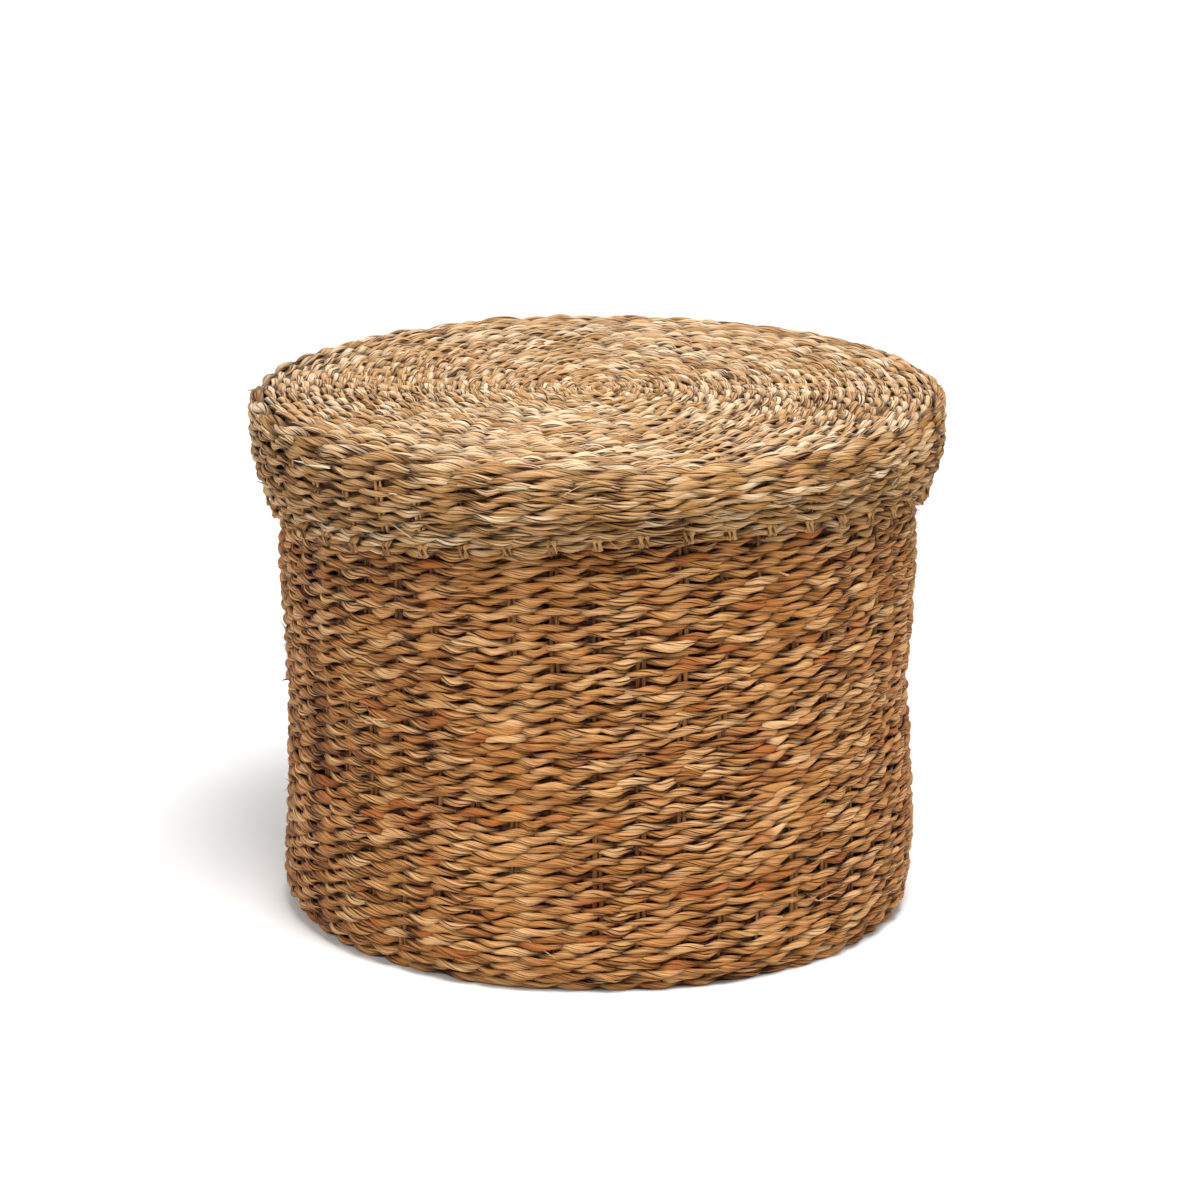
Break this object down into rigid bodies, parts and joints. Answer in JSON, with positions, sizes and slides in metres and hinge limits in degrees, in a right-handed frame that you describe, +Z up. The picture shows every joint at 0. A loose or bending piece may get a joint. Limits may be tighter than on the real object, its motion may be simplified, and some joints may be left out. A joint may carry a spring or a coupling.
{
  "type": "lidded laundry basket",
  "caption": "Round laundry basket twined from seagrass, with a slightly waisted wall and a deep cap lid that lifts straight off.",
  "frame": {"origin": "centre of the foot, on the surface that the basket stands on", "axes": "+Z up along the basket's axis and the way the lid lifts, -Y towards the front, +X to the right"},
  "size_m": [0.4347, 0.4348, 0.3299],
  "materials": {
    "body_seagrass": "dry twisted seagrass, golden brown",
    "lid_seagrass": "dry twisted seagrass, pale straw",
    "stake_fibre": "dry leaf fibre"
  },
  "bodies": {
    "basket": {"base_crossing": "body_seagrass", "base_inner_weave": "body_seagrass", "base_middle_weave": "body_seagrass", "base_outer_weave": "body_seagrass", "wall_course_01": "body_seagrass", "wall_course_02": "body_seagrass", "wall_course_03": "body_seagrass", "wall_course_04": "body_seagrass", "wall_course_05": "body_seagrass", "wall_course_06": "body_seagrass", "wall_course_07": "body_seagrass", "wall_course_08": "body_seagrass", "wall_course_09": "body_seagrass", "wall_course_10": "body_seagrass", "wall_course_11": "body_seagrass", "wall_course_12": "body_seagrass", "wall_course_13": "body_seagrass", "wall_course_14": "body_seagrass", "wall_course_15": "body_seagrass", "wall_course_16": "body_seagrass", "wall_course_17": "body_seagrass", "wall_course_18": "body_seagrass", "wall_course_19": "body_seagrass", "wall_course_20": "body_seagrass", "wall_course_21": "body_seagrass", "wall_course_22": "body_seagrass", "wall_course_23": "body_seagrass", "wall_course_24": "body_seagrass", "wall_course_25": "body_seagrass", "wall_course_26": "body_seagrass", "wall_course_27": "body_seagrass", "wall_course_28": "body_seagrass", "wall_course_29": "body_seagrass", "wall_course_30": "body_seagrass", "wall_course_31": "body_seagrass", "wall_course_32": "body_seagrass", "wall_course_33": "body_seagrass", "rim_border": "body_seagrass", "wall_stakes": "stake_fibre"},
    "lid": {"lid_crossing": "lid_seagrass", "lid_inner_weave": "lid_seagrass", "lid_middle_weave": "lid_seagrass", "lid_outer_weave": "lid_seagrass", "lid_edge_wale": "lid_seagrass", "skirt_course_1": "lid_seagrass", "skirt_course_2": "lid_seagrass", "skirt_course_3": "lid_seagrass", "skirt_course_4": "lid_seagrass", "skirt_course_5": "lid_seagrass", "lid_border": "lid_seagrass", "lid_stakes": "stake_fibre"}
  },
  "joints": [
    {"name": "lid_lift", "type": "slide", "parent": "basket", "child": "lid", "axis": [0, 0, 1], "range_m": [0, 0.12]}
  ]
}
